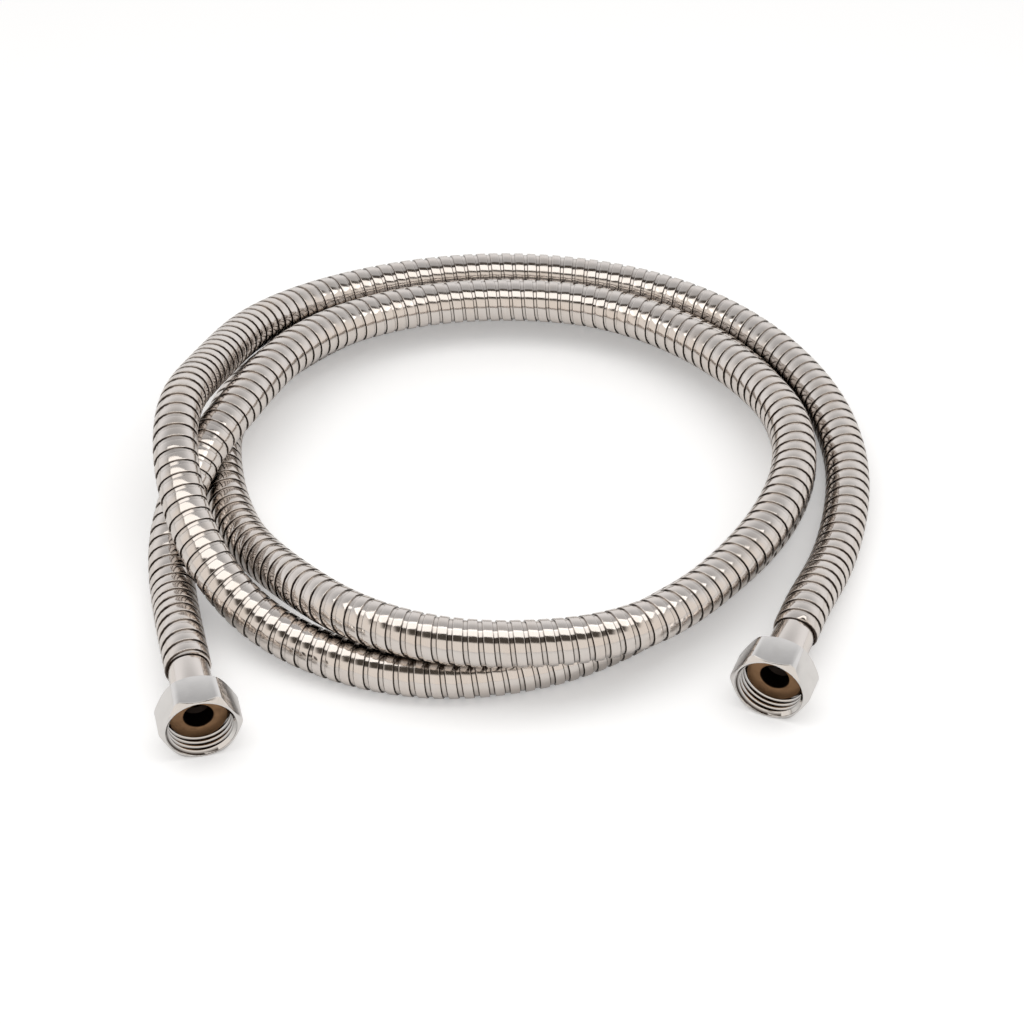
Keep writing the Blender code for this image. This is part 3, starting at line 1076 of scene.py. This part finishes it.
def insert(side, fittings, finish):
    """Turned brass piece, with its flange at the bottom of the nut's socket."""
    item = turned(side + "_insert_turned", insert_outline(fittings), TURNING_STEPS)
    soften(item, width=0.00006, angle=25)
    places = vertex_places(item)
    from_axis = np.hypot(places[:, 0], places[:, 1])
    # Vertices deep in the hole get painted shade
    inside = from_axis < fittings.bore_radius + DARK_MARGIN
    inside &= places[:, 2] > fittings.socket_depth + DARK_DEPTH
    store(item, "from_axis", from_axis)
    store(item, "bore", inside)
    return finish_fitting(item, side, fittings, finish)


def ferrule(side, fittings, finish):
    """Plain sleeve between the nut and the casing."""
    front = fittings.socket_depth + fittings.flange_thickness + CLEARANCE
    shoulder = fittings.nut_length + fittings.ferrule_showing - CASING_GAP
    tail_end = shoulder + TAIL_LENGTH
    outer, edge = fittings.ferrule_radius, FERRULE_EDGE
    outline = [
        (FERRULE_BORE, front), (outer - edge, front), (outer, front + edge),
        (outer, shoulder - edge), (outer - edge, shoulder), (TAIL_RADIUS, shoulder),
        (TAIL_RADIUS, tail_end), (FERRULE_BORE, tail_end),
    ]
    item = turned(side + "_ferrule_plated", outline, FERRULE_STEPS)
    soften(item, width=0.00008, angle=25)
    store(item, "along", vertex_places(item)[:, 2])
    return finish_fitting(item, side, fittings, finish)


# Stage

TABLE_SIZE = 6.0
SENSOR_WIDTH = 36.0
WHITE = (1.0, 1.0, 1.0)
ROOM_WHITE = (1.0, 0.99, 0.98)
LAMP_WHITE = (1.0, 0.995, 0.985)

# The mirrored room. Its front and back walls meet between these Y, and the back wall's
# brightness goes from the first to the second number between these Z.
WALLS_MEET = (-0.25, 0.3)
BACK_WALL_Z = (0.3, 0.95)
BACK_WALL_BRIGHTNESS = (1.25, 0.68)

# The hood's soft edge, and the X between which its ends fade out
HOOD_EDGE = 0.03
HOOD_ENDS = (0.45, 0.75)


def world_light(stage):
    """White to the camera, even to the table, and a room with a dark hood to the polished metal."""
    world = bpy.context.scene.world or bpy.data.worlds.new("studio")
    bpy.context.scene.world = world
    world.use_nodes = True
    world.node_tree.nodes.clear()
    sky = Nodes(world.node_tree)
    output = sky.node("ShaderNodeOutputWorld")

    def light(colour, strength=1.0):
        made = sky.node("ShaderNodeBackground")
        sky.fill(made.inputs["Color"], colour)
        made.inputs["Strength"].default_value = strength
        return made.outputs["Background"]

    def choose(share, first, second):
        made = sky.node("ShaderNodeMixShader")
        for socket, source in zip(made.inputs, (share, first, second)):
            sky.join(source, socket)
        return made.outputs["Shader"]

    def vector(operation, first):
        made = sky.node("ShaderNodeVectorMath", operation=operation)
        sky.fill(made.inputs[0], first)
        return made

    def fade(value, limits, ends):
        return sky.spread(value, *limits, *ends, easing="SMOOTHSTEP")

    x, y, z = sky.parts(sky.node("ShaderNodeTexCoord").outputs["Generated"])
    back = vector("SCALE", stage.back_wall)
    sky.join(fade(z, BACK_WALL_Z, BACK_WALL_BRIGHTNESS), back.inputs["Scale"])
    walls = sky.blend(fade(y, WALLS_MEET, (0.0, 1.0)), stage.front_wall, back.outputs["Vector"])

    # The hood is a strip of sky along X, at its height above the front horizon
    upright = sky.node("ShaderNodeCombineXYZ")
    sky.join(y, upright.inputs["Y"])
    sky.join(z, upright.inputs["Z"])
    to_hood = vector("DOT_PRODUCT", vector("NORMALIZE", upright.outputs["Vector"]).outputs["Vector"])
    to_hood.inputs[1].default_value = (0.0, -math.cos(stage.hood_height), math.sin(stage.hood_height))
    edge = math.cos(stage.hood_width / 2)
    inside = fade(to_hood.outputs["Value"], (edge - HOOD_EDGE, edge + HOOD_EDGE), (0.0, 1.0))
    narrow = fade(sky.reckon("ABSOLUTE", x), HOOD_ENDS, (1.0, 0.0))
    room = sky.blend(sky.reckon("MULTIPLY", inside, narrow), walls, stage.hood_colour)

    path = sky.node("ShaderNodeLightPath")
    seen = sky.reckon("MAXIMUM", path.outputs["Is Camera Ray"], path.outputs["Is Transmission Ray"])
    shiny = choose(path.outputs["Is Glossy Ray"], light(ROOM_WHITE, stage.surround), light(room))
    sky.join(choose(seen, shiny, light(WHITE)), output.inputs["Surface"])


def table_finish(stage):
    """White table that takes shadows and fades into a white surround."""
    finish = Finish("white_table")
    mottle = finish.noise(finish.objects(), 6.0, 2.0)
    finish.give("Base Color", finish.blend(mottle, shade(stage.table_colour, 0.995), stage.table_colour))
    finish.set("Roughness", 0.9)
    finish.set("Specular IOR Level", 0.0)
    path = finish.node("ShaderNodeLightPath")
    seen = finish.reckon("MULTIPLY", path.outputs["Is Camera Ray"], stage.table_lift)
    shiny = finish.reckon("MULTIPLY", path.outputs["Is Glossy Ray"], stage.table_shine)
    lift = finish.node("ShaderNodeEmission")
    finish.fill(lift.inputs["Color"], WHITE)
    finish.join(finish.reckon("ADD", seen, shiny), lift.inputs["Strength"])
    both = finish.node("ShaderNodeAddShader")
    finish.join(finish.shader.outputs["BSDF"], both.inputs[0])
    finish.join(lift.outputs["Emission"], both.inputs[1])
    finish.join(both.outputs["Shader"], finish.nodes["Material Output"].inputs["Surface"])
    return finish.material


def soft_box(stage):
    """Long soft lamp over the coil, whose reflection is the bright line along the hose."""
    deselect_all()
    middle = (COIL_CENTRE[0], stage.box_forward, stage.box_height)
    bpy.ops.object.light_add(type="AREA", location=middle)
    lamp = bpy.context.view_layer.objects.active
    lamp.name = "soft_box"
    lamp.data.shape = "RECTANGLE"
    lamp.data.size = stage.box_length
    lamp.data.size_y = stage.box_depth
    lamp.data.energy = stage.box_glow * math.pi * stage.box_length * stage.box_depth
    lamp.data.color = LAMP_WHITE


class SHOWERHOSE_OT_stage(bpy.types.Operator):
    """Lay the white table and set the lamps and the camera"""

    bl_idname = "showerhose.stage"
    bl_label = "Stage"

    def execute(self, context):
        stage = context.scene.shower_hose_stage
        bpy.context.scene.view_settings.view_transform = "Standard"
        world_light(stage)
        deselect_all()
        bpy.ops.mesh.primitive_plane_add(size=TABLE_SIZE, location=(0, 0, 0))
        table = named("table")
        table.data.materials.append(table_finish(stage))
        soft_box(stage)
        pitch = stage.camera_pitch
        reach = stage.camera_distance
        eye = (COIL_CENTRE[0], COIL_CENTRE[1] - reach * math.cos(pitch), reach * math.sin(pitch))
        bpy.ops.object.camera_add(location=eye, rotation=(math.pi / 2 - pitch, 0.0, 0.0))
        camera = bpy.context.view_layer.objects.active
        camera.data.sensor_width = SENSOR_WIDTH
        camera.data.lens = stage.lens
        bpy.context.scene.camera = camera
        return {"FINISHED"}


class SHOWERHOSE_OT_casing(bpy.types.Operator):
    """Wind the steel strip along the hose's route"""

    bl_idname = "showerhose.casing"
    bl_label = "Wound casing"

    def execute(self, context):
        hose = context.scene.shower_hose
        line = Centreline()
        casing = casing_mesh(line, hose)
        casing.data.materials.append(wound_steel(hose))
        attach(casing, "hose")
        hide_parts("hose_casing")
        return {"FINISHED"}


class SHOWERHOSE_OT_inner_tube(bpy.types.Operator):
    """Give the soft inner tube its finish"""

    bl_idname = "showerhose.inner_tube"
    bl_label = "Inner tube"

    def execute(self, context):
        tube = frame["nodes"]["inner_tube"]
        finish = soft_tube(context.scene.shower_hose)
        for slot in tube.material_slots:
            slot.material = finish
        return {"FINISHED"}


class SHOWERHOSE_OT_swivel_nuts(bpy.types.Operator):
    """Model the two chromed nuts with their threads"""

    bl_idname = "showerhose.swivel_nuts"
    bl_label = "Swivel nuts"

    def execute(self, context):
        fittings = context.scene.shower_hose_fittings
        finish = chrome(fittings)
        for side in ENDS:
            nut = swivel_nut(side, fittings, finish)
            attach(nut, side + "_nut")
            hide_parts(side + "_swivel_nut")
        return {"FINISHED"}


class SHOWERHOSE_OT_inserts(bpy.types.Operator):
    """Turn the two brass inserts"""

    bl_idname = "showerhose.inserts"
    bl_label = "Inserts"

    def execute(self, context):
        fittings = context.scene.shower_hose_fittings
        finish = turned_brass(fittings)
        for side in ENDS:
            piece = insert(side, fittings, finish)
            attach(piece, "hose")
            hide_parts(side + "_insert")
        return {"FINISHED"}


class SHOWERHOSE_OT_ferrules(bpy.types.Operator):
    """Turn the two plated ferrules"""

    bl_idname = "showerhose.ferrules"
    bl_label = "Ferrules"

    def execute(self, context):
        fittings = context.scene.shower_hose_fittings
        finish = plated_sleeve(context.scene.shower_hose)
        for side in ENDS:
            piece = ferrule(side, fittings, finish)
            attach(piece, "hose")
            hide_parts(side + "_ferrule")
        return {"FINISHED"}


class SHOWERHOSE_PT_panel(bpy.types.Panel):
    """Steps that build the hose"""

    bl_label = "Shower Hose"
    bl_idname = "SHOWERHOSE_PT_panel"
    bl_space_type = "VIEW_3D"
    bl_region_type = "UI"
    bl_category = "Shower Hose"

    def draw(self, context):
        for step in STEPS:
            self.layout.operator("showerhose." + step)


STEPS = ("stage", "swivel_nuts", "inserts", "ferrules", "casing", "inner_tube")

CLASSES = (
    HoseSettings,
    FittingSettings,
    StageSettings,
    SHOWERHOSE_OT_stage,
    SHOWERHOSE_OT_casing,
    SHOWERHOSE_OT_inner_tube,
    SHOWERHOSE_OT_swivel_nuts,
    SHOWERHOSE_OT_inserts,
    SHOWERHOSE_OT_ferrules,
    SHOWERHOSE_PT_panel,
)


def register():
    for one in CLASSES:
        bpy.utils.register_class(one)
    bpy.types.Scene.shower_hose = PointerProperty(type=HoseSettings)
    bpy.types.Scene.shower_hose_fittings = PointerProperty(type=FittingSettings)
    bpy.types.Scene.shower_hose_stage = PointerProperty(type=StageSettings)


def unregister():
    del bpy.types.Scene.shower_hose_stage
    del bpy.types.Scene.shower_hose_fittings
    del bpy.types.Scene.shower_hose
    for one in reversed(CLASSES):
        bpy.utils.unregister_class(one)


def main():
    register()
    for step in STEPS:
        getattr(bpy.ops.showerhose, step)()


if __name__ == "__main__":
    main()
